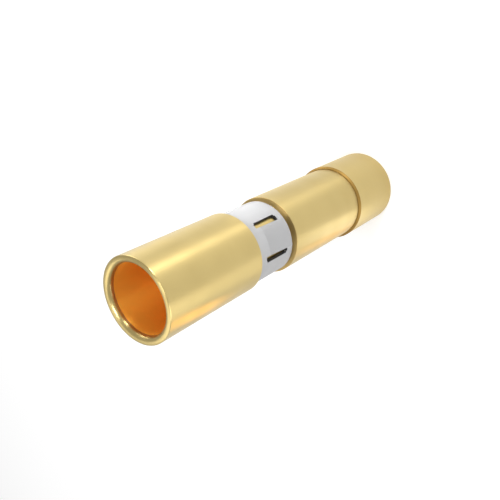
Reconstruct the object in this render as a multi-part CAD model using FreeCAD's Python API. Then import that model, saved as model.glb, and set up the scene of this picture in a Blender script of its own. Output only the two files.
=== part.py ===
import FreeCAD, Part
import math
import os

# A turned power socket contact, stood on its mating face, with its wire barrel up.
# All sizes are in millimetres. Z is the contact's axis, and Z = 0 is the mating face.

# The turned body, from the wire barrel down
overall_length = 28.4
barrel_diameter = 6.0
barrel_length = 9.0
barrel_wall = 0.54
wire_bore_floor = 0.8
mouth_lead_in = 0.27
mouth_chamfer = 0.08
barrel_edge_break = 0.04
inspection_hole_diameter = 1.2
inspection_hole_rise = 1.2
groove_depth = 0.55
shoulder_height = 0.55
shoulder_chamfer = 0.1
drill_point_angle = 118.0

# The socket end: a bored nose slotted into spring fingers
pin_bore_diameter = 3.6
pin_bore_depth = 10.0
finger_wall = 0.55
finger_count = 4
finger_slot_width = 0.45
finger_root = 0.35
finger_lead_in = 0.2

# The thin hood pressed on over the fingers
hood_wall = 0.35
hood_length = 5.8
hood_seat_length = 1.1
hood_lip = 0.6
hood_lead_in = 0.25
hood_edge_chamfer = 0.08
hood_step_chamfer = 0.15

# The retention clip, rolled from spring sheet, with lanced tines
clip_sheet = 0.28
clip_near_strip = 0.8
clip_far_strip = 0.63
clip_seam_gap = 0.5
tine_count = 2
tine_width = 2.2
tine_relief = 0.32
tine_length = 2.1
tine_bend_radius = 0.3
tine_rise_angle = 16.0
side_slot_width = 0.46
tip_slot_width = 0.08
window_corner_radius = 0.12

# Clearances between the pieces
clip_core_clearance = 0.06
clip_end_float = 0.37
hood_seat_clearance = 0.01
pin_entry_clearance = 0.2
finger_tip_clearance = 0.15
finger_flex_clearance = 0.51

# Radii and heights that follow from the sizes above
barrel_radius = barrel_diameter / 2
wire_bore_radius = barrel_radius - barrel_wall
wire_bore_depth = barrel_length - wire_bore_floor
inspection_hole_depth = wire_bore_depth - inspection_hole_rise
core_radius = barrel_radius - groove_depth
middle_radius = core_radius + shoulder_height
pin_bore_radius = pin_bore_diameter / 2
finger_radius = pin_bore_radius + finger_wall
hood_cavity_radius = finger_radius + finger_flex_clearance
hood_diameter = 2 * (hood_cavity_radius + hood_wall)
hood_radius = hood_diameter / 2
seat_radius = hood_cavity_radius - hood_seat_clearance
hood_entry_radius = pin_bore_radius + pin_entry_clearance
clip_inner_radius = core_radius + clip_core_clearance
clip_outer_radius = clip_inner_radius + clip_sheet

window_length = tine_relief + tine_length + tip_slot_width
clip_length = clip_near_strip + window_length + clip_far_strip
groove_top = overall_length - barrel_length
groove_bottom = groove_top - clip_length - clip_end_float
seat_front = hood_length - hood_seat_length
finger_tip = hood_lip + finger_tip_clearance
drill_point_slope = math.tan(math.radians(90 - drill_point_angle / 2))

axis_point = FreeCAD.Vector(0, 0, 0)
axis_up = FreeCAD.Vector(0, 0, 1)
match = 1e-4


def turned(outline):
    """Turn a closed outline of (radius, height) points about the axis."""
    points = [FreeCAD.Vector(radius, 0, height) for radius, height in outline]
    wire = Part.makePolygon(points + points[:1])
    return Part.Face(wire).revolve(axis_point, axis_up, 360)


def ring_edges(shape, radius, height):
    """The circular edges of a turned shape at a radius and a height."""
    found = []
    for edge in shape.Edges:
        if not isinstance(edge.Curve, Part.Circle):
            continue
        same_radius = abs(edge.Curve.Radius - radius) < match
        if same_radius and abs(edge.Curve.Center.z - height) < match:
            found.append(edge)
    return found


def contact_body():
    """One turned piece: wire barrel, clip groove, middle, hood seat and spring fingers."""
    wire_bore_bottom = overall_length - wire_bore_depth
    wire_bore_point = wire_bore_bottom - wire_bore_radius * drill_point_slope
    pin_bore_point = pin_bore_depth + pin_bore_radius * drill_point_slope
    body = turned([
        (0, pin_bore_point),
        (pin_bore_radius, pin_bore_depth),
        (pin_bore_radius, finger_tip),
        (finger_radius, finger_tip),
        (finger_radius, seat_front),
        (seat_radius, seat_front),
        (seat_radius, hood_length),
        (middle_radius, hood_length),
        (middle_radius, groove_bottom),
        (core_radius, groove_bottom),
        (core_radius, groove_top),
        (barrel_radius, groove_top),
        (barrel_radius, overall_length),
        (wire_bore_radius, overall_length),
        (wire_bore_radius, wire_bore_bottom),
        (0, wire_bore_point),
    ])
    body = body.makeFillet(mouth_lead_in, ring_edges(body, wire_bore_radius, overall_length))
    body = body.makeChamfer(mouth_chamfer, ring_edges(body, barrel_radius, overall_length))
    body = body.makeChamfer(barrel_edge_break, ring_edges(body, barrel_radius, groove_top))
    body = body.makeChamfer(shoulder_chamfer, ring_edges(body, middle_radius, groove_bottom))
    body = body.makeChamfer(finger_lead_in, ring_edges(body, pin_bore_radius, finger_tip))
    return body.cut(inspection_hole()).cut(finger_slots())


def inspection_hole():
    """The radial hole that shows the wire end, through one wall of the barrel."""
    start = FreeCAD.Vector(0, 0, overall_length - inspection_hole_depth)
    return Part.makeCylinder(
        inspection_hole_diameter / 2, barrel_diameter, start, FreeCAD.Vector(-1, 0, 0)
    )


def finger_slots():
    """Saw cuts from the tips towards the seat, one between each pair of fingers."""
    length = seat_front - finger_root
    cuts = []
    for number in range(finger_count):
        corner = FreeCAD.Vector(0, -finger_slot_width / 2, 0)
        cut = Part.makeBox(finger_radius * 2, finger_slot_width, length, corner)
        cut.rotate(axis_point, axis_up, (number + 0.5) * 360 / finger_count)
        cuts.append(cut)
    return cuts[0].fuse(cuts[1:])


def front_hood():
    """A thin turned sleeve with a lip round the pin's way in."""
    hood = turned([
        (hood_entry_radius, 0),
        (hood_radius, 0),
        (hood_radius, hood_length),
        (hood_cavity_radius, hood_length),
        (hood_cavity_radius, hood_lip),
        (hood_entry_radius, hood_lip),
    ])
    hood = hood.makeChamfer(hood_lead_in, ring_edges(hood, hood_entry_radius, 0))
    hood = hood.makeChamfer(hood_edge_chamfer, ring_edges(hood, hood_radius, 0))
    return hood.makeChamfer(hood_step_chamfer, ring_edges(hood, hood_radius, hood_length))


def sheet_section(width, height):
    """A flat face across the rolled sheet, centred on +X, with its width measured round it."""
    half_angle = math.degrees(width / clip_outer_radius) / 2
    start = FreeCAD.Vector(clip_inner_radius, 0, height)
    end = FreeCAD.Vector(clip_outer_radius, 0, height)
    edge = Part.makeLine(start, end)
    edge.rotate(axis_point, axis_up, -half_angle)
    return edge.revolve(axis_point, axis_up, 2 * half_angle)


def tine_window(top):
    """The opening that one tine leaves in the sheet, with its slots on three sides."""
    half_angle = math.degrees((tine_width / 2 + side_slot_width) / clip_outer_radius)
    start = FreeCAD.Vector(clip_inner_radius - clip_sheet, 0, top)
    end = FreeCAD.Vector(clip_outer_radius + clip_sheet, 0, top)
    edge = Part.makeLine(start, end)
    edge.rotate(axis_point, axis_up, -half_angle)
    face = edge.revolve(axis_point, axis_up, 2 * half_angle)
    window = face.extrude(FreeCAD.Vector(0, 0, -window_length))
    corners = [edge for edge in window.Edges if isinstance(edge.Curve, Part.Line)]
    corners = [edge for edge in corners if abs(edge.BoundBox.ZLength) < match]
    return window.makeFillet(window_corner_radius, corners)


def tine(top):
    """One tine: its flat root, its outward bend and its straight, raised leaf."""
    crease = top - tine_relief
    root = sheet_section(tine_width, crease).extrude(FreeCAD.Vector(0, 0, tine_relief))
    bend_axis_point = FreeCAD.Vector(clip_outer_radius + tine_bend_radius, 0, crease)
    bend_axis = FreeCAD.Vector(0, -1, 0)
    section = sheet_section(tine_width, crease)
    bend = section.revolve(bend_axis_point, bend_axis, tine_rise_angle)
    section.rotate(bend_axis_point, bend_axis, tine_rise_angle)
    rise = math.radians(tine_rise_angle)
    leaf_length = tine_length - tine_bend_radius * rise
    direction = FreeCAD.Vector(math.sin(rise), 0, -math.cos(rise))
    leaf = section.extrude(direction * leaf_length)
    return root.fuse([bend, leaf])


def retention_clip():
    """A split sleeve in the groove, with tines lanced out of it and bent outwards."""
    bottom = groove_top - clip_length
    sleeve = turned([
        (clip_inner_radius, bottom),
        (clip_outer_radius, bottom),
        (clip_outer_radius, groove_top),
        (clip_inner_radius, groove_top),
    ])
    seam_corner = FreeCAD.Vector(-clip_seam_gap / 2, -2 * clip_outer_radius, bottom)
    seam = Part.makeBox(clip_seam_gap, 2 * clip_outer_radius, clip_length, seam_corner)
    sleeve = sleeve.cut(seam)
    window_top = groove_top - clip_near_strip
    for number in range(tine_count):
        window = tine_window(window_top)
        leaf = tine(window_top)
        for shape in (window, leaf):
            shape.rotate(axis_point, axis_up, number * 360 / tine_count)
        sleeve = sleeve.cut(window).fuse(leaf)
    return sleeve.removeSplitter()


nodes = {
    "contact_body": contact_body(),
    "front_hood": front_hood(),
    "retention_clip": retention_clip(),
}

os.makedirs("parts", exist_ok=True)
for name, shape in nodes.items():
    shape.exportStep("parts/" + name + ".step")
    print(name, "solids", len(shape.Solids), "valid", shape.isValid(), "volume", round(shape.Volume, 3))
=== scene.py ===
import math
from collections import namedtuple

import bmesh
import bpy
from bpy.props import FloatProperty, FloatVectorProperty, IntProperty, PointerProperty
from mathutils import Matrix, Vector


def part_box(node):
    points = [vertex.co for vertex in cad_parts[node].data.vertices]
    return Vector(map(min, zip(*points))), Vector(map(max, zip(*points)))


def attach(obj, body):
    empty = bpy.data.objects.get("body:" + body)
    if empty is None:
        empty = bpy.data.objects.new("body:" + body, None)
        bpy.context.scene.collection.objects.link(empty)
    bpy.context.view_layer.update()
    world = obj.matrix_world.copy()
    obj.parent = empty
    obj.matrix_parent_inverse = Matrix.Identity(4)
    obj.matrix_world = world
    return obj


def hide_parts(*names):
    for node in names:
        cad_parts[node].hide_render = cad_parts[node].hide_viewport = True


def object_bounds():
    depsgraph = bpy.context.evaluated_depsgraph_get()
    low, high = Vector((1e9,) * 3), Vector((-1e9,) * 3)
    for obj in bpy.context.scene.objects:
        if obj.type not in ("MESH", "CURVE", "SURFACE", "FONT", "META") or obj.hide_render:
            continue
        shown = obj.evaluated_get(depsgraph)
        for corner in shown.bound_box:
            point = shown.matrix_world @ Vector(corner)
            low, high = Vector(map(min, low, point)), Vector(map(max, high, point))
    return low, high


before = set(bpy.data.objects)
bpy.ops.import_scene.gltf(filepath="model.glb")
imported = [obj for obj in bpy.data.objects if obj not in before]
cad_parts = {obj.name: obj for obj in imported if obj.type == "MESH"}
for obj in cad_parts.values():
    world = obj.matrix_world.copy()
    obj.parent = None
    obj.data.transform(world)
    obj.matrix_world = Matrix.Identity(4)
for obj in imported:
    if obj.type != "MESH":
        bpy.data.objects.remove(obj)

bl_info = {
    "name": "Power Socket Contact",
    "version": (1, 0, 0),
    "blender": (4, 5, 0),
    "location": "View3D > Sidebar > Contact",
    "description": "Builds a turned, gold plated power socket contact with its retention clip",
    "category": "Add Mesh",
}

MM = 0.001
SAME_PLACE = 0.001 * MM
BODY_NODE = "contact_body"
HOOD_NODE = "front_hood"
CLIP_NODE = "retention_clip"
CAD_LOW, CAD_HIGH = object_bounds()
BODY_LOW, BODY_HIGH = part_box(BODY_NODE)
HOOD_LOW, HOOD_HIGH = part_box(HOOD_NODE)
CLIP_LOW, CLIP_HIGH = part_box(CLIP_NODE)


def length(name, description, default):
    """A distance in metres."""
    return FloatProperty(
        name=name, description=description, default=default, unit="LENGTH", precision=5
    )


def colour(name, description, default):
    """A scene-linear colour."""
    return FloatVectorProperty(
        name=name, description=description, default=default, subtype="COLOR", size=3, min=0, max=1
    )


def angle(name, description, degrees):
    """An angle, kept in radians and shown in degrees."""
    return FloatProperty(
        name=name, description=description, default=math.radians(degrees), subtype="ANGLE"
    )


def amount(name, description, default):
    """A plain number."""
    return FloatProperty(name=name, description=description, default=default)


class ContactBodySizes(bpy.types.PropertyGroup):
    """Sizes of the turned body."""

    barrel_wall: length("Barrel wall", "Wall of the wire barrel", 0.54 * MM)
    barrel_length: length("Barrel length", "From the mouth to the clip's groove", 9.0 * MM)
    wire_bore_depth: length("Wire bore depth", "Full-width depth of the wire bore", 8.2 * MM)
    mouth_lead_in: length("Mouth lead-in", "Rounding inside the barrel's mouth", 0.3 * MM)
    # Share of the mouth's rounding that stays plain gold; below it the wire bore is painted orange as
    # reflection.
    plated_share: amount("Plated share", "Full plating in the mouth over its rounding", 1.4)
    mouth_chamfer: length("Mouth chamfer", "Chamfer outside the barrel's mouth", 0.08 * MM)
    core_radius: length("Core radius", "Radius of the groove's floor", 2.45 * MM)
    shoulder_depth: length("Shoulder depth", "From the mouth to the groove's far end", 13.3 * MM)
    middle_radius: length("Middle radius", "Radius of the plain middle section", 3.0 * MM)
    shoulder_chamfer: length("Shoulder chamfer", "Chamfer that faces the groove", 0.05 * MM)
    seat_radius: length("Seat radius", "Radius that the hood is pressed on", 2.85 * MM)
    seat_length: length("Seat length", "Length of the hood's seat", 1.1 * MM)
    finger_radius: length("Finger radius", "Outer radius of the spring fingers", 2.35 * MM)
    finger_root: length("Finger root", "Unslotted length before the seat", 0.35 * MM)
    finger_slot: length("Finger slot", "Width of the saw cuts", 0.45 * MM)
    finger_lead_in: length("Finger lead-in", "Chamfer in the fingers' tips", 0.2 * MM)
    finger_count: IntProperty(name="Fingers", description="Number of spring fingers", default=4)
    pin_bore_radius: length("Pin bore radius", "Radius that grips the pin", 1.8 * MM)
    pin_bore_depth: length("Pin bore depth", "From the mating face", 10.0 * MM)
    drill_slope: amount("Drill slope", "Depth of a drill's point over its radius", 0.6)
    inspection_radius: length("Inspection hole radius", "Hole in the barrel", 0.6 * MM)
    inspection_depth: length("Inspection hole depth", "From the barrel's mouth", 7.0 * MM)
    edge_break: length("Edge break", "Rounding of the turned edges", 0.04 * MM)


class FrontHoodSizes(bpy.types.PropertyGroup):
    """Sizes of the hood."""

    wall: length("Wall", "Wall of the sleeve", 0.35 * MM)
    lip: length("Lip", "Thickness of the front lip", 0.6 * MM)
    entry_radius: length("Entry radius", "Hole in the lip", 2.0 * MM)
    lead_in: length("Lead-in", "Chamfer round the hole", 0.25 * MM)
    edge_chamfer: length("Edge chamfer", "Chamfer round the mating face", 0.08 * MM)
    step_chamfer: length("Step chamfer", "Chamfer where the hood begins", 0.15 * MM)
    # Share of the step's chamfer that takes the painted shade.
    dull_share: amount("Dull share", "Duller plating at the step over its chamfer", 0.97)
    edge_break: length("Edge break", "Rounding of the turned edges", 0.02 * MM)


class RetentionClipSizes(bpy.types.PropertyGroup):
    """Sizes of the clip's blank and of its tines."""

    sheet: length("Sheet", "Thickness of the spring sheet", 0.28 * MM)
    inner_radius: length("Inner radius", "Inside of the rolled sleeve", 2.51 * MM)
    near_strip: length("Near strip", "From the end to the slots", 0.8 * MM)
    relief: length("Relief", "From the slots' ends to the crease", 0.32 * MM)
    tine_length: length("Tine length", "From the crease to the tip", 2.1 * MM)
    tine_width: length("Tine width", "Measured round the sheet's outside", 2.2 * MM)
    side_slot: length("Side slot", "Width of the slots beside a tine", 0.46 * MM)
    tip_slot: length("Tip slot", "Gap left at a tine's tip", 0.08 * MM)
    seam_gap: length("Seam gap", "Gap between the rolled ends", 0.5 * MM)
    bend_radius: length("Bend radius", "Outside radius at the crease", 0.3 * MM)
    rise: angle("Rise", "How far a tine is bent out", 16.0)
    corner: length("Corner", "Rounding of the windows' corners", 0.12 * MM)
    edge_break: length("Edge break", "Rounding of the cut edges", 0.03 * MM)
    tine_count: IntProperty(name="Tines", description="Number of tines", default=2)


class FinishSettings(bpy.types.PropertyGroup):
    """Colours and finishes of the metals."""

    gold: colour("Gold", "Colour of the plating", (0.542, 0.421, 0.175))
    gold_deep: colour("Deep gold", "Plating where it is a little thicker", (0.527, 0.402, 0.161))
    gold_patches: amount("Gold patches", "Soft patches per metre on the plating", 350.0)
    gold_relief: amount("Gold relief", "Strength of the turning marks' relief", 0.12)
    body_rings: amount("Body rings", "Turning marks per metre on the body", 9000.0)
    body_roughness: amount("Body roughness", "Roughness of the turned plating", 0.33)
    body_streak: amount("Body streak", "How far turning marks stretch highlights", 0.8)
    hood_rings: amount("Hood rings", "Turning marks per metre on the hood", 7000.0)
    hood_roughness: amount("Hood roughness", "Roughness of the hood's satin plating", 0.4)
    hood_streak: amount("Hood streak", "How far the hood's marks stretch highlights", 0.5)
    # Painted reflection: the bore's orange stands in for light bounced between its gold walls, and
    # its metal is lowered so that it shows.
    bore_gold: colour("Bore gold", "Thin plating that lets the copper through", (1.0, 0.52, 0.065))
    bore_roughness: amount("Bore roughness", "Roughness of the drilled wire bore", 0.5)
    bore_metal: amount("Bore metal", "Share of bare metal in the wire bore", 0.7)
    # Painted light: the shoulder gets a lighter gold than the plating, to lift the shade of the
    # groove it faces.
    shoulder_gold: colour("Shoulder gold", "Plating on the clip's shoulder", (0.62, 0.45, 0.18))
    # Painted shade: the hood's step takes a dark brown for the shade that falls on it.
    step_gold: colour("Step gold", "Duller plating on the hood's step", (0.37, 0.23, 0.065))
    recess_roughness: amount("Recess roughness", "Roughness of step, shoulder and groove", 0.6)
    steel: colour("Steel", "Colour of the clip", (0.41, 0.41, 0.414))
    steel_dark: colour("Dark steel", "Colour of its duller patches", (0.395, 0.395, 0.4))
    # Painted shade: the bent-out tines are coloured darker for their tilt away from the light.
    steel_bent: colour("Bent steel", "Colour of the bent tines", (0.34, 0.34, 0.344))
    # Near-black on every cut edge of the sheet: partly the sheared steel's own darker tone, partly
    # painted shade in the narrow slots.
    steel_cut: colour("Cut steel", "Colour of the sheared edges", (0.06, 0.06, 0.065))
    steel_patches: amount("Steel patches", "Soft patches per metre on the sheet", 700.0)
    steel_grain: amount("Steel grain", "Grains of the sheet per metre", 2200.0)
    steel_stretch: amount("Steel stretch", "How much finer the grain is along the axis", 14.0)
    steel_relief: amount("Steel relief", "Strength of the grain's relief", 0.1)
    steel_metal: amount("Steel sheen", "How far the sheet mirrors like bare metal", 0.15)
    steel_roughness: amount("Steel roughness", "Roughness of the sheet", 0.55)


class StageSettings(bpy.types.PropertyGroup):
    """Camera, floor and lamps."""

    lens: amount("Lens", "Focal length in millimetres on a 36 mm frame", 44.244)
    azimuth: angle("Azimuth", "Where the camera looks, from +Y towards +X", -99.776)
    elevation: angle("Elevation", "How far the camera looks down", 46.352)
    roll: angle("Roll", "Turn of the camera about its line of sight", -117.703)
    distance: length("Distance", "From the camera to its target", 45.527 * MM)
    target: FloatVectorProperty(
        name="Target",
        description="Point in the middle of the picture",
        default=(0.0816 * MM, -0.4734 * MM, 17.3065 * MM),
        subtype="TRANSLATION",
        precision=6,
    )
    floor_colour: colour("Floor", "Colour of the floor", (0.8, 0.8, 0.8))
    floor_size: length("Floor size", "Side of the floor", 4.0)
    floor_glow: amount("Floor glow", "White added where the floor is seen", 0.3)
    floor_mirror: amount("Floor mirror", "White added where metal mirrors the floor", 0.3)
    world_level: amount("World level", "Level of the light from all round", 0.6)


# A lamp's direction is turned from +X towards +Y in degrees, it faces the axis at a height, and
# its spread is in degrees
Lamp = namedtuple("Lamp", "name direction distance height faces width length power colour spread")

WHITE = (1.0, 1.0, 1.0)
WARM = (1.0, 0.52, 0.02)
MIDDLE = 0.0142
LAMPS = (
    Lamp("key_lamp", 50, 0.090, 0.030, MIDDLE, 0.02, 0.03, 0.047, WHITE, 180),
    Lamp("rim_lamp", 105, 0.100, 0.022, MIDDLE, 0.045, 0.05, 0.018, WHITE, 180),
    Lamp("back_lamp", 120, 0.100, 0.022, MIDDLE, 0.045, 0.05, 0.027, WHITE, 180),
    Lamp("fill_lamp", 312, 0.100, 0.014, MIDDLE, 0.06, 0.05, 0.044, WHITE, 180),
    Lamp("high_lamp", 216, 0.096, 0.129, MIDDLE, 0.11, 0.08, 0.045, WHITE, 180),
    Lamp("mouth_lamp", 9, 0.010, 0.067, MIDDLE, 0.012, 0.012, 0.008, WHITE, 180),
    Lamp("clip_lamp", 78, 0.030, 0.0173, 0.0173, 0.004, 0.004, 0.000036, WHITE, 10),
    Lamp("foot_lamp", 299, 0.008, 0.0008, 0.012, 0.006, 0.006, 0.00013, WHITE, 180),
    Lamp("low_glint", 271, 0.010, 0.0025, 0.011, 0.005, 0.005, 0.000010, WARM, 50),
    Lamp("mouth_glint", 271, 0.010, 0.020, 0.032, 0.005, 0.004, 0.000027, WARM, 70),
)


# Meshes


def new_piece(name, bm, node):
    """Makes a bmesh an object that stands for a CAD node and rides on its body."""
    mesh = bpy.data.meshes.new(name)
    bm.to_mesh(mesh)
    bm.free()
    piece = bpy.data.objects.new(name, mesh)
    bpy.context.scene.collection.objects.link(piece)
    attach(piece, "root")
    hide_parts(node)
    return piece


def apply_modifiers(piece):
    """Puts the result of the modifiers into the piece's own mesh."""
    bpy.context.view_layer.update()
    graph = bpy.context.evaluated_depsgraph_get()
    made = bpy.data.meshes.new_from_object(piece.evaluated_get(graph))
    old = piece.data
    piece.modifiers.clear()
    piece.data = made
    bpy.data.meshes.remove(old)
    made.name = piece.name


def smooth(piece, sharp_degrees=35):
    """Smooth shading that breaks at sharp edges and keeps flats flat beside small roundings."""
    mesh = piece.data
    mesh.polygons.foreach_set("use_smooth", [True] * len(mesh.polygons))
    mesh.set_sharp_from_angle(angle=math.radians(sharp_degrees))
    weighted = piece.modifiers.new("weighted", "WEIGHTED_NORMAL")
    weighted.keep_sharp = True
    weighted.weight = 100
    apply_modifiers(piece)


def turned(outline, steps=192):
    """Spins a closed outline of (radius, height, rounding, segments of the rounding) about Z."""
    bm = bmesh.new()
    corners = [bm.verts.new((radius, 0, height)) for radius, height, _, _ in outline]
    bm.faces.new(corners)
    for corner, (_, _, rounding, segments) in zip(corners, outline):
        if rounding > 0:
            bmesh.ops.bevel(
                bm,
                geom=[corner],
                offset=rounding,
                offset_type="OFFSET",
                segments=segments,
                profile=0.5,
                affect="VERTICES",
                material=-1,
            )
    bmesh.ops.delete(bm, geom=bm.faces[:], context="FACES_ONLY")
    bmesh.ops.spin(
        bm,
        geom=bm.verts[:] + bm.edges[:],
        cent=(0, 0, 0),
        axis=(0, 0, 1),
        angle=2 * math.pi,
        steps=steps,
        use_merge=True,
    )
    bmesh.ops.remove_doubles(bm, verts=bm.verts, dist=0.0002 * MM)
    bmesh.ops.recalc_face_normals(bm, faces=bm.faces)
    return bm


def cut(piece, cutter_bm):
    """Takes a closed bmesh out of a piece."""
    mesh = bpy.data.meshes.new("cutter")
    cutter_bm.to_mesh(mesh)
    cutter_bm.free()
    cutter = bpy.data.objects.new("cutter", mesh)
    bpy.context.scene.collection.objects.link(cutter)
    modifier = piece.modifiers.new("cut", "BOOLEAN")
    modifier.operation = "DIFFERENCE"
    modifier.solver = "EXACT"
    modifier.object = cutter
    apply_modifiers(piece)
    bpy.data.objects.remove(cutter)
    bpy.data.meshes.remove(mesh)


def body_outline(sizes):
    """The turned body's outline, from the pin bore's point round the outside to the wire bore."""
    barrel_radius = BODY_HIGH.x
    mouth = BODY_HIGH.z
    shoulder = mouth - sizes.shoulder_depth
    tip = BODY_LOW.z
    hood_end = HOOD_HIGH.z
    groove_top = mouth - sizes.barrel_length
    seat_front = hood_end - sizes.seat_length
    wire_radius = barrel_radius - sizes.barrel_wall
    wire_bottom = mouth - sizes.wire_bore_depth
    small = sizes.edge_break
    return (
        (0, sizes.pin_bore_depth + sizes.pin_bore_radius * sizes.drill_slope, 0, 0),
        (sizes.pin_bore_radius, sizes.pin_bore_depth, 0, 0),
        (sizes.pin_bore_radius, tip, sizes.finger_lead_in, 3),
        (sizes.finger_radius, tip, small, 2),
        (sizes.finger_radius, seat_front, 0, 0),
        (sizes.seat_radius, seat_front, small, 1),
        (sizes.seat_radius, hood_end, 0, 0),
        (sizes.middle_radius, hood_end, small, 3),
        (sizes.middle_radius, shoulder, sizes.shoulder_chamfer, 3),
        (sizes.core_radius, shoulder, small, 2),
        (sizes.core_radius, groove_top, small, 2),
        (barrel_radius, groove_top, small, 3),
        (barrel_radius, mouth, sizes.mouth_chamfer, 2),
        (wire_radius, mouth, sizes.mouth_lead_in, 8),
        (wire_radius, wire_bottom, small, 2),
        (0, wire_bottom - wire_radius * sizes.drill_slope, 0, 0),
    )


def finger_slot_cutter(sizes):
    """Saw blades that cross on the axis, from below the tips to the slots' roots."""
    bm = bmesh.new()
    below = BODY_LOW.z - 1.0 * MM
    root = HOOD_HIGH.z - sizes.seat_length - sizes.finger_root
    for number in range(sizes.finger_count // 2):
        blade = bmesh.ops.create_cube(bm, size=1)["verts"]
        across = 4 * sizes.finger_radius
        bmesh.ops.scale(bm, vec=(across, sizes.finger_slot, root - below), verts=blade)
        bmesh.ops.translate(bm, vec=(0, 0, (root + below) / 2), verts=blade)
        turn = (number + 0.5) * 2 * math.pi / sizes.finger_count
        bmesh.ops.rotate(bm, matrix=Matrix.Rotation(turn, 3, "Z"), verts=blade)
    return bm


def inspection_cutter(sizes):
    """A drill through one wall of the barrel, flared a little where it leaves the outside."""
    flare = 1.5 * sizes.edge_break
    radius = sizes.inspection_radius
    reach = BODY_HIGH.x
    outline = (
        (0, reach / 2, 0, 0),
        (radius, reach / 2, 0, 0),
        (radius, reach - flare, 0, 0),
        (radius + 2 * flare, reach + flare, 0, 0),
        (0, reach + flare, 0, 0),
    )
    bm = turned(outline, steps=64)
    bmesh.ops.rotate(bm, matrix=Matrix.Rotation(-math.pi / 2, 3, "Y"), verts=bm.verts)
    bmesh.ops.translate(bm, vec=(0, 0, BODY_HIGH.z - sizes.inspection_depth), verts=bm.verts)
    return bm


def hood_outline(sizes):
    """The hood's outline: a thin sleeve with a lip at the mating face."""
    outer = HOOD_HIGH.y
    inner = outer - sizes.wall
    front = HOOD_LOW.z
    back = HOOD_HIGH.z
    small = sizes.edge_break
    return (
        (sizes.entry_radius, front, sizes.lead_in, 4),
        (outer, front, sizes.edge_chamfer, 3),
        (outer, back, sizes.step_chamfer, 1),
        (inner, back, small, 1),
        (inner, front + sizes.lip, small, 2),
        (sizes.entry_radius, front + sizes.lip, small, 2),
    )


def clip_blank(sizes, lines):
    """The flat blank, unrolled along X with its height along Y, slit round each tine."""
    bm = bmesh.new()
    made = bmesh.ops.create_grid(bm, x_segments=180, y_segments=6, size=0.5)["verts"]
    width = lines["end"] - lines["start"]
    height = lines["top"] - lines["bottom"]
    middle = ((lines["start"] + lines["end"]) / 2, (lines["top"] + lines["bottom"]) / 2, 0)
    bmesh.ops.scale(bm, vec=(width, height, 1), verts=made)
    bmesh.ops.translate(bm, vec=middle, verts=made)
    upright = [
        centre + side * offset
        for centre in lines["centres"]
        for side in (-1, 1)
        for offset in (lines["tine"], lines["window"], lines["window"] - sizes.corner)
    ]
    level = [
        lines["window_top"],
        lines["window_top"] - sizes.corner,
        lines["window_bottom"],
        lines["window_bottom"] + sizes.corner,
        lines["tip"],
    ]
    bend_rows = 4
    level += [lines["crease"] - lines["bend"] * row / bend_rows for row in range(bend_rows + 1)]
    planes = [((x, 0, 0), (1, 0, 0)) for x in upright]
    planes += [((0, y, 0), (0, 1, 0)) for y in level]
    for place, normal in planes:
        everything = bm.verts[:] + bm.edges[:] + bm.faces[:]
        bmesh.ops.bisect_plane(
            bm, geom=everything, dist=SAME_PLACE, plane_co=place, plane_no=normal
        )
    slits = []
    for face in bm.faces:
        x, y, _ = face.calc_center_median()
        across = min((x - centre for centre in lines["centres"]), key=abs)
        from_side = lines["window"] - abs(across)
        from_end = min(lines["window_top"] - y, y - lines["window_bottom"])
        in_window = from_side > 0 and from_end > 0
        on_tine = abs(across) < lines["tine"] and y > lines["tip"]
        in_corner = from_side < sizes.corner and from_end < sizes.corner
        if in_window and not on_tine and not in_corner:
            slits.append(face)
    bmesh.ops.delete(bm, geom=slits, context="FACES")
    round_window_corners(bm, sizes, lines)
    return bm


def round_window_corners(bm, sizes, lines):
    """Pulls the free corner of each small corner cell back on to the rounding's arc."""
    pull = sizes.corner / math.sqrt(2)
    inner = lines["window"] - sizes.corner
    ends = ((lines["window_top"] - sizes.corner, 1), (lines["window_bottom"] + sizes.corner, -1))
    for vert in bm.verts:
        across = min((vert.co.x - centre for centre in lines["centres"]), key=abs)
        for height, up in ends:
            if abs(abs(across) - inner) < SAME_PLACE and abs(vert.co.y - height) < SAME_PLACE:
                vert.co.x += math.copysign(pull, across)
                vert.co.y += up * pull


def roll_clip(bm, sizes, lines):
    """Rolls the blank round Z, and bends each tine outwards about its crease."""
    middle = sizes.inner_radius + sizes.sheet / 2
    pivot = sizes.inner_radius + sizes.sheet + sizes.bend_radius
    for vert in bm.verts:
        centre = min(lines["centres"], key=lambda place: abs(vert.co.x - place))
        across = (vert.co.x - centre) / middle
        out = middle * math.cos(across)
        round_it = middle * math.sin(across)
        height = vert.co.y
        below = lines["crease"] - height
        on_tine = abs(vert.co.x - centre) < lines["tine"] + SAME_PLACE
        if on_tine and below > 0 and height > lines["tip"] - SAME_PLACE:
            bend = min(below / sizes.bend_radius, sizes.rise)
            straight = below - bend * sizes.bend_radius
            height = lines["crease"] - (pivot - out) * math.sin(bend) - straight * math.cos(bend)
            out = pivot - (pivot - out) * math.cos(bend) + straight * math.sin(bend)
        turn = Matrix.Rotation(centre / middle, 3, "Z")
        vert.co = turn @ Vector((out, round_it, height))


def clip_lines(sizes):
    """Where the blank's ends, slots, creases and tips lie, measured along its middle surface."""
    middle = sizes.inner_radius + sizes.sheet / 2
    outer = sizes.inner_radius + sizes.sheet
    seam = math.asin(sizes.seam_gap / 2 / middle)
    window_top = CLIP_HIGH.z - sizes.near_strip
    crease = window_top - sizes.relief
    tip = crease - sizes.tine_length
    spacing = 2 * math.pi / sizes.tine_count * middle
    return {
        "start": (-math.pi / 2 + seam) * middle,
        "end": (3 * math.pi / 2 - seam) * middle,
        "top": CLIP_HIGH.z,
        "bottom": CLIP_LOW.z,
        "centres": [number * spacing for number in range(sizes.tine_count)],
        "tine": sizes.tine_width / 2 / outer * middle,
        "window": (sizes.tine_width / 2 + sizes.side_slot) / outer * middle,
        "window_top": window_top,
        "window_bottom": tip - sizes.tip_slot,
        "crease": crease,
        "bend": sizes.bend_radius * sizes.rise,
        "tip": tip,
    }


# Materials


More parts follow.
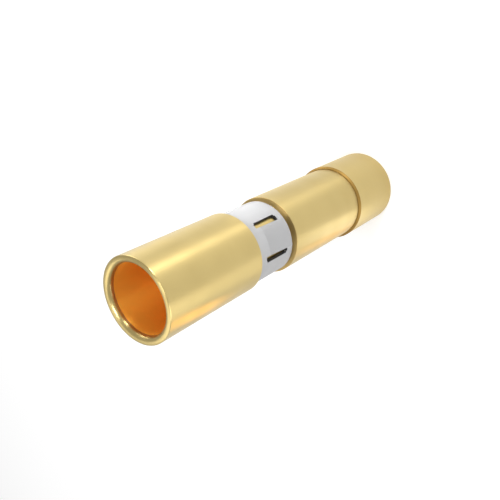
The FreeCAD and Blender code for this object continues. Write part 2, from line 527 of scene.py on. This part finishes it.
class Nodes:
    """Places and links the nodes of one tree."""

    def __init__(self, tree):
        self.tree = tree
        self.count = 0

    def add(self, kind, inputs=(), **settings):
        """A node with its settings, and its sockets by name: a value, or another node's output."""
        node = self.tree.nodes.new(kind)
        node.location = (220 * (self.count % 8), -260 * (self.count // 8))
        self.count += 1
        for name, value in settings.items():
            setattr(node, name, value)
        for name, value in dict(inputs).items():
            if isinstance(value, bpy.types.NodeSocket):
                self.tree.links.new(value, node.inputs[name])
            else:
                node.inputs[name].default_value = value
        return node

    def math(self, operation, first, second=0.0):
        """The result of one sum."""
        return self.add("ShaderNodeMath", {0: first, 1: second}, operation=operation).outputs[0]


def radius_and_height(nodes, place):
    """The distance from the axis and the height."""
    parts = nodes.add("ShaderNodeSeparateXYZ", {"Vector": place}).outputs
    flat = nodes.add("ShaderNodeCombineXYZ", {"X": parts["X"], "Y": parts["Y"]}).outputs[0]
    distance = nodes.add("ShaderNodeVectorMath", {0: flat}, operation="LENGTH").outputs["Value"]
    return distance, parts["Z"]


def rising(nodes, value, start, end):
    """A mask that goes from zero to one between two values."""
    return nodes.add(
        "ShaderNodeMapRange", {"Value": value, "From Min": start, "From Max": end}
    ).outputs["Result"]


def blended(nodes, mask, first, second):
    """A number between two, by a mask."""
    return nodes.add(
        "ShaderNodeMapRange", {"Value": mask, "To Min": first, "To Max": second}
    ).outputs["Result"]


def node_group(name, inputs, outputs):
    """A new node group with its named inputs and outputs."""
    group = bpy.data.node_groups.new(name, "ShaderNodeTree")
    for label, kind, default in inputs:
        socket = group.interface.new_socket(label, in_out="INPUT", socket_type=kind)
        if default is not None:
            socket.default_value = default
    for label, kind in outputs:
        group.interface.new_socket(label, in_out="OUTPUT", socket_type=kind)
    nodes = Nodes(group)
    return group, nodes, nodes.add("NodeGroupInput"), nodes.add("NodeGroupOutput")


def turning_marks():
    """Fine rings that run round Z: they change with height and radius only."""
    group, nodes, given, result = node_group(
        "turning_marks",
        (("Vector", "NodeSocketVector", None), ("Rings per metre", "NodeSocketFloat", 9000.0)),
        (("Height", "NodeSocketFloat"), ("Tone", "NodeSocketFloat")),
    )
    rings = given.outputs["Rings per metre"]
    radius, height = radius_and_height(nodes, given.outputs["Vector"])
    section = nodes.add("ShaderNodeCombineXYZ", {"X": radius, "Z": height}).outputs[0]
    fine = nodes.add(
        "ShaderNodeTexNoise",
        {"Vector": section, "Scale": rings, "Detail": 3.0, "Roughness": 0.6},
    )
    broad_scale = nodes.math("MULTIPLY", rings, 0.08)
    broad = nodes.add("ShaderNodeTexNoise", {"Vector": section, "Scale": broad_scale, "Detail": 2.0})
    nodes.tree.links.new(fine.outputs["Fac"], result.inputs["Height"])
    nodes.tree.links.new(broad.outputs["Fac"], result.inputs["Tone"])
    return group


def soft_patches():
    """Slow changes of tone over a metal, as thin plating and handling leave."""
    group, nodes, given, result = node_group(
        "soft_patches",
        (("Vector", "NodeSocketVector", None), ("Patches per metre", "NodeSocketFloat", 400.0)),
        (("Mask", "NodeSocketFloat"),),
    )
    patches = nodes.add(
        "ShaderNodeTexNoise",
        {
            "Vector": given.outputs["Vector"],
            "Scale": given.outputs["Patches per metre"],
            "Detail": 4.0,
        },
    ).outputs["Fac"]
    nodes.tree.links.new(rising(nodes, patches, 0.35, 0.65), result.inputs["Mask"])
    return group


def effect_group(make):
    """The node group of an effect, made once however many materials use it."""
    return bpy.data.node_groups.get(make.__name__) or make()


def new_material(name):
    """A material with one Principled shader and its object coordinates."""
    material = bpy.data.materials.new(name)
    material.use_nodes = True
    material.node_tree.nodes.clear()
    nodes = Nodes(material.node_tree)
    place = nodes.add("ShaderNodeTexCoord").outputs["Object"]
    return material, nodes, place


def set_materials(piece, *materials):
    """Gives a piece its materials in the order of their slots."""
    piece.data.materials.clear()
    for material in materials:
        piece.data.materials.append(material)


def finish_material(nodes, shader_inputs):
    """The Principled shader and the material's output."""
    shader = nodes.add("ShaderNodeBsdfPrincipled", shader_inputs)
    nodes.add("ShaderNodeOutputMaterial", {"Surface": shader.outputs["BSDF"]})


def use_group(nodes, make, inputs):
    """One copy of an effect's node group in a material."""
    node = nodes.add("ShaderNodeGroup")
    node.node_tree = effect_group(make)
    for name, value in inputs.items():
        if isinstance(value, bpy.types.NodeSocket):
            nodes.tree.links.new(value, node.inputs[name])
        else:
            node.inputs[name].default_value = value
    return node.outputs


def mixed(nodes, mask, first, second):
    """A colour between two, by a mask."""
    node = nodes.add("ShaderNodeMix", data_type="RGBA")
    for socket, value in (("Factor_Float", mask), ("A_Color", first), ("B_Color", second)):
        target = next(item for item in node.inputs if item.identifier == socket)
        if isinstance(value, bpy.types.NodeSocket):
            nodes.tree.links.new(value, target)
        else:
            target.default_value = (*value, 1)
    return next(item for item in node.outputs if item.identifier == "Result_Color")


def uneven_roughness(nodes, pattern, roughness, spread):
    """A roughness that a noise pattern moves up and down by the spread."""
    return nodes.add(
        "ShaderNodeMapRange",
        {
            "Value": pattern,
            "From Min": 0.3,
            "From Max": 0.7,
            "To Min": roughness - spread,
            "To Max": roughness + spread,
        },
    ).outputs["Result"]


def relief(nodes, height, strength, distance):
    """A normal that a height pattern tilts, as deep as the distance."""
    return nodes.add(
        "ShaderNodeBump", {"Height": height, "Strength": strength, "Distance": distance}
    ).outputs["Normal"]


def across_marks(nodes, place):
    """The direction over the surface that lies across the turning marks."""
    normal = nodes.add("ShaderNodeTexCoord").outputs["Normal"]
    around = nodes.add(
        "ShaderNodeVectorMath", {0: (0.0, 0.0, 1.0), 1: place}, operation="CROSS_PRODUCT"
    ).outputs["Vector"]
    return nodes.add(
        "ShaderNodeVectorMath", {0: around, 1: normal}, operation="CROSS_PRODUCT"
    ).outputs["Vector"]


def bore_mask(nodes, place, radius, bottom, top):
    """One inside the wire bore, from its drill's point up to the gold of its mouth: where the bore's
    orange reflection is painted.
    """
    wall_reach = 0.1 * MM
    mouth_blend = 0.04 * MM
    point_slope = 0.4
    distance, height = radius_and_height(nodes, place)
    inside = rising(nodes, distance, radius + wall_reach, radius)
    point = nodes.math("MULTIPLY", nodes.math("SUBTRACT", radius, distance), point_slope)
    above = nodes.math("GREATER_THAN", nodes.math("ADD", height, point), bottom)
    below = rising(nodes, height, top, top - mouth_blend)
    return nodes.math("MULTIPLY", nodes.math("MULTIPLY", inside, above), below)


def groove_mask(nodes, place, radius, top):
    """One on the floor of the clip's groove."""
    reach = 0.1 * MM
    distance, height = radius_and_height(nodes, place)
    near_floor = nodes.math(
        "MULTIPLY",
        nodes.math("LESS_THAN", distance, radius + reach),
        nodes.math("GREATER_THAN", distance, radius - reach),
    )
    return nodes.math("MULTIPLY", near_floor, nodes.math("LESS_THAN", height, top))


def shoulder_mask(nodes, place, shoulder):
    """One on the shoulder below the clip and on its chamfer, where lighter gold is painted as light
    that the groove's shade takes away.
    """
    reach = 0.05 * MM
    blend = 0.02 * MM
    _, height = radius_and_height(nodes, place)
    return nodes.math(
        "MULTIPLY",
        rising(nodes, height, shoulder - reach, shoulder - reach + blend),
        rising(nodes, height, shoulder + reach, shoulder + reach - blend),
    )


def step_mask(nodes, place, start):
    """One on the hood's step and its chamfer, from a height up, where shade is painted dark."""
    blend = 0.02 * MM
    _, height = radius_and_height(nodes, place)
    return rising(nodes, height, start - blend, start)


def body_areas(nodes, place, sizes, finish, base):
    """Masks of the bore's painted orange reflection, the duller groove and the shoulder's painted
    light, each with its colour and roughness.
    """
    mouth = BODY_HIGH.z
    wire_radius = BODY_HIGH.x - sizes.barrel_wall
    groove_top = mouth - sizes.barrel_length
    reflection_top = mouth - sizes.plated_share * sizes.mouth_lead_in
    bore = bore_mask(nodes, place, wire_radius, groove_top, reflection_top)
    groove = groove_mask(nodes, place, wire_radius, groove_top)
    shoulder = shoulder_mask(nodes, place, mouth - sizes.shoulder_depth)
    return (
        (bore, finish.bore_gold, finish.bore_roughness),
        (groove, base, finish.recess_roughness),
        # The shoulder's lighter gold is painted light.
        (shoulder, finish.shoulder_gold, finish.recess_roughness),
    )


def gold_plating(nodes, place, finish, rings, roughness):
    """The colour, roughness and relief of plating over turned metal."""
    marks = use_group(nodes, turning_marks, {"Vector": place, "Rings per metre": rings})
    patches = use_group(
        nodes, soft_patches, {"Vector": place, "Patches per metre": finish.gold_patches}
    )
    tone = nodes.math("MULTIPLY", marks["Tone"], patches["Mask"])
    base = mixed(nodes, tone, finish.gold, finish.gold_deep)
    uneven = uneven_roughness(nodes, marks["Tone"], roughness, spread=0.03)
    bump = relief(nodes, marks["Height"], finish.gold_relief, distance=0.01 * MM)
    return base, uneven, bump


def with_areas(nodes, base, roughness, areas):
    """The colour and roughness with each area's own where its mask is one."""
    for mask, tint, rough in areas:
        base = mixed(nodes, mask, base, tint)
        roughness = blended(nodes, mask, roughness, rough)
    return base, roughness


def body_material(sizes, finish):
    """Gold plating with orange reflections painted down the wire bore, duller in the groove, and
    duller with light painted on the shoulder.
    """
    material, nodes, place = new_material("gold_plate_body")
    base, roughness, bump = gold_plating(
        nodes, place, finish, finish.body_rings, finish.body_roughness
    )
    areas = body_areas(nodes, place, sizes, finish, base)
    # The bore is made less metallic so that its painted orange reflection shows.
    metal = blended(nodes, areas[0][0], 1.0, finish.bore_metal)
    base, roughness = with_areas(nodes, base, roughness, areas)
    finish_gold(nodes, place, base, metal, roughness, finish.body_streak, bump)
    return material


def hood_material(sizes, finish):
    """Satin gold plating, rougher on the step and painted darker there as shade."""
    material, nodes, place = new_material("gold_plate_hood")
    base, roughness, bump = gold_plating(
        nodes, place, finish, finish.hood_rings, finish.hood_roughness
    )
    step = step_mask(nodes, place, HOOD_HIGH.z - sizes.dull_share * sizes.step_chamfer)
    areas = ((step, finish.step_gold, finish.recess_roughness),)
    base, roughness = with_areas(nodes, base, roughness, areas)
    finish_gold(nodes, place, base, 1.0, roughness, finish.hood_streak, bump)
    return material


def finish_gold(nodes, place, base, metal, roughness, streak, bump):
    """The plating's shader, whose highlights stretch across the turning marks."""
    finish_material(
        nodes,
        {
            "Base Color": base,
            "Metallic": metal,
            "Roughness": roughness,
            "Anisotropic": streak,
            "Tangent": across_marks(nodes, place),
            "Normal": bump,
        },
    )


def steel_material(name, sizes, finish, light, dark, bent):
    """Satin spring sheet between two colours, with a darker third painted as shade where it is bent
    out.
    """
    material, nodes, place = new_material(name)
    patches = use_group(
        nodes, soft_patches, {"Vector": place, "Patches per metre": finish.steel_patches}
    )
    stretched = nodes.add(
        "ShaderNodeMapping", {"Vector": place, "Scale": (1.0, 1.0, finish.steel_stretch)}
    ).outputs["Vector"]
    grain = nodes.add(
        "ShaderNodeTexNoise", {"Vector": stretched, "Scale": finish.steel_grain, "Detail": 3.0}
    ).outputs["Fac"]
    distance, _ = radius_and_height(nodes, place)
    rolled = sizes.inner_radius + sizes.sheet
    bend_start = rolled + 0.005 * MM
    bend_full = rolled + 0.02 * MM
    base = mixed(nodes, patches["Mask"], light, dark)
    # The bent-out tines take the darker colour as painted shade.
    base = mixed(nodes, rising(nodes, distance, bend_start, bend_full), base, bent)
    finish_material(
        nodes,
        {
            "Base Color": base,
            "Metallic": finish.steel_metal,
            "Roughness": uneven_roughness(nodes, grain, finish.steel_roughness, spread=0.04),
            "Normal": relief(nodes, grain, finish.steel_relief, distance=0.005 * MM),
        },
    )
    return material


def floor_material(stage):
    """A pale floor that takes shadows and looks white where it is seen."""
    material, nodes, _ = new_material("pale_floor")
    path = nodes.add("ShaderNodeLightPath").outputs
    seen = nodes.math("MULTIPLY", path["Is Camera Ray"], stage.floor_glow)
    mirrored = nodes.math("MAXIMUM", path["Is Glossy Ray"], path["Is Transmission Ray"])
    mirrored = nodes.math("MULTIPLY", mirrored, stage.floor_mirror)
    glow = nodes.add(
        "ShaderNodeEmission", {"Strength": nodes.math("MAXIMUM", seen, mirrored)}
    ).outputs[0]
    paint = nodes.add("ShaderNodeBsdfDiffuse", {"Color": (*stage.floor_colour, 1)}).outputs[0]
    both = nodes.add("ShaderNodeAddShader", {0: paint, 1: glow}).outputs[0]
    nodes.add("ShaderNodeOutputMaterial", {"Surface": both})
    return material


# Operators


class AddContactBody(bpy.types.Operator):
    """Add the turned body with its wire barrel, groove and slotted fingers"""

    bl_idname = "contact.add_body"
    bl_label = "Contact body"

    def execute(self, context):
        sizes = context.scene.contact_body_sizes
        finish = context.scene.contact_finish
        piece = new_piece("turned_body", turned(body_outline(sizes)), BODY_NODE)
        cut(piece, finger_slot_cutter(sizes))
        cut(piece, inspection_cutter(sizes))
        smooth(piece)
        set_materials(piece, body_material(sizes, finish))
        return {"FINISHED"}


class AddFrontHood(bpy.types.Operator):
    """Add the thin hood over the fingers"""

    bl_idname = "contact.add_hood"
    bl_label = "Front hood"

    def execute(self, context):
        sizes = context.scene.contact_hood_sizes
        finish = context.scene.contact_finish
        piece = new_piece("pressed_hood", turned(hood_outline(sizes)), HOOD_NODE)
        smooth(piece)
        set_materials(piece, hood_material(sizes, finish))
        return {"FINISHED"}


class AddRetentionClip(bpy.types.Operator):
    """Add the rolled clip with its raised tines"""

    bl_idname = "contact.add_clip"
    bl_label = "Retention clip"

    def execute(self, context):
        sizes = context.scene.contact_clip_sizes
        finish = context.scene.contact_finish
        lines = clip_lines(sizes)
        bm = clip_blank(sizes, lines)
        roll_clip(bm, sizes, lines)
        piece = new_piece("rolled_clip", bm, CLIP_NODE)
        steel = steel_material(
            "satin_steel", sizes, finish, finish.steel, finish.steel_dark, finish.steel_bent
        )
        # The cut edges take near-black: partly sheared steel, partly painted shade of the slots.
        cut_edge_shades = (finish.steel_cut,) * 3
        set_materials(piece, steel, steel_material("shaded_cut_steel", sizes, finish, *cut_edge_shades))
        sheet = piece.modifiers.new("sheet", "SOLIDIFY")
        sheet.thickness = sizes.sheet
        sheet.offset = 0
        sheet.use_even_offset = True
        sheet.material_offset_rim = 1
        edges = piece.modifiers.new("edges", "BEVEL")
        edges.width = sizes.edge_break
        edges.segments = 2
        edges.limit_method = "ANGLE"
        edges.angle_limit = math.radians(50)
        apply_modifiers(piece)
        smooth(piece)
        return {"FINISHED"}


class SetContactStage(bpy.types.Operator):
    """Set the floor, lamps, world, camera and colour management"""

    bl_idname = "contact.set_stage"
    bl_label = "Stage"

    def execute(self, context):
        stage = context.scene.contact_stage
        add_floor(context, stage)
        add_lamps(context)
        add_world(context, stage)
        add_camera(context, stage)
        context.scene.view_settings.view_transform = "Standard"
        return {"FINISHED"}


def add_floor(context, stage):
    """A large plain floor at the mating face."""
    bm = bmesh.new()
    bmesh.ops.create_grid(bm, x_segments=1, y_segments=1, size=stage.floor_size / 2)
    mesh = bpy.data.meshes.new("floor")
    bm.to_mesh(mesh)
    bm.free()
    floor = bpy.data.objects.new("floor", mesh)
    floor.location = (0, 0, CAD_LOW.z)
    mesh.materials.append(floor_material(stage))
    context.scene.collection.objects.link(floor)


def add_lamps(context):
    """Area lamps that all face the contact's axis."""
    for lamp in LAMPS:
        light = bpy.data.lights.new(lamp.name, "AREA")
        light.shape = "RECTANGLE"
        light.size = lamp.width
        light.size_y = lamp.length
        light.energy = lamp.power
        light.color = lamp.colour
        light.spread = math.radians(lamp.spread)
        placed = bpy.data.objects.new(lamp.name, light)
        azimuth = math.radians(lamp.direction)
        across = (math.cos(azimuth) * lamp.distance, math.sin(azimuth) * lamp.distance)
        placed.location = (*across, lamp.height)
        away = placed.location - Vector((0, 0, lamp.faces))
        placed.rotation_euler = away.to_track_quat("Z", "Y").to_euler()
        placed.visible_camera = False
        context.scene.collection.objects.link(placed)


def add_world(context, stage):
    """Even light from all round, white where the camera looks past the floor."""
    world = bpy.data.worlds.new("studio")
    world.use_nodes = True
    world.node_tree.nodes.clear()
    nodes = Nodes(world.node_tree)
    camera_ray = nodes.add("ShaderNodeLightPath").outputs["Is Camera Ray"]
    strength = blended(nodes, camera_ray, stage.world_level, 1.0)
    light = nodes.add(
        "ShaderNodeBackground", {"Color": (1.0, 1.0, 1.0, 1.0), "Strength": strength}
    ).outputs[0]
    nodes.add("ShaderNodeOutputWorld", {"Surface": light})
    context.scene.world = world


def add_camera(context, stage):
    """The photograph's view: close, looking down past the barrel's mouth, and rolled."""
    data = bpy.data.cameras.new("camera")
    data.lens = stage.lens
    data.sensor_width = 36
    data.clip_start = 1.0 * MM
    camera = bpy.data.objects.new("camera", data)
    level = math.cos(stage.elevation)
    forward = Vector(
        (math.sin(stage.azimuth) * level, math.cos(stage.azimuth) * level, -math.sin(stage.elevation))
    )
    across = forward.cross(Vector((0, 0, 1))).normalized()
    upright = across.cross(forward)
    right = across * math.cos(stage.roll) + upright * math.sin(stage.roll)
    up = right.cross(forward)
    turn = Matrix((right, up, -forward)).transposed().to_4x4()
    camera.matrix_world = Matrix.Translation(Vector(stage.target) - forward * stage.distance) @ turn
    context.scene.collection.objects.link(camera)
    context.scene.camera = camera


class ContactPanel(bpy.types.Panel):
    """Builds the contact and its stage"""

    bl_idname = "VIEW3D_PT_power_socket_contact"
    bl_label = "Power Socket Contact"
    bl_space_type = "VIEW_3D"
    bl_region_type = "UI"
    bl_category = "Contact"

    def draw(self, context):
        for operator in OPERATORS:
            self.layout.operator(operator.bl_idname)


PROPERTY_GROUPS = {
    "contact_body_sizes": ContactBodySizes,
    "contact_hood_sizes": FrontHoodSizes,
    "contact_clip_sizes": RetentionClipSizes,
    "contact_finish": FinishSettings,
    "contact_stage": StageSettings,
}
OPERATORS = (AddContactBody, AddFrontHood, AddRetentionClip, SetContactStage)
CLASSES = (*PROPERTY_GROUPS.values(), *OPERATORS, ContactPanel)


def register():
    """Registers the classes and gives the scene their settings."""
    for item in CLASSES:
        bpy.utils.register_class(item)
    for name, group in PROPERTY_GROUPS.items():
        setattr(bpy.types.Scene, name, PointerProperty(type=group))


def unregister():
    """Takes the settings and the classes away again."""
    for name in PROPERTY_GROUPS:
        delattr(bpy.types.Scene, name)
    for item in reversed(CLASSES):
        bpy.utils.unregister_class(item)


def main():
    """Builds every piece and the stage."""
    register()
    bpy.ops.contact.add_body()
    bpy.ops.contact.add_hood()
    bpy.ops.contact.add_clip()
    bpy.ops.contact.set_stage()


if __name__ == "__main__":
    main()
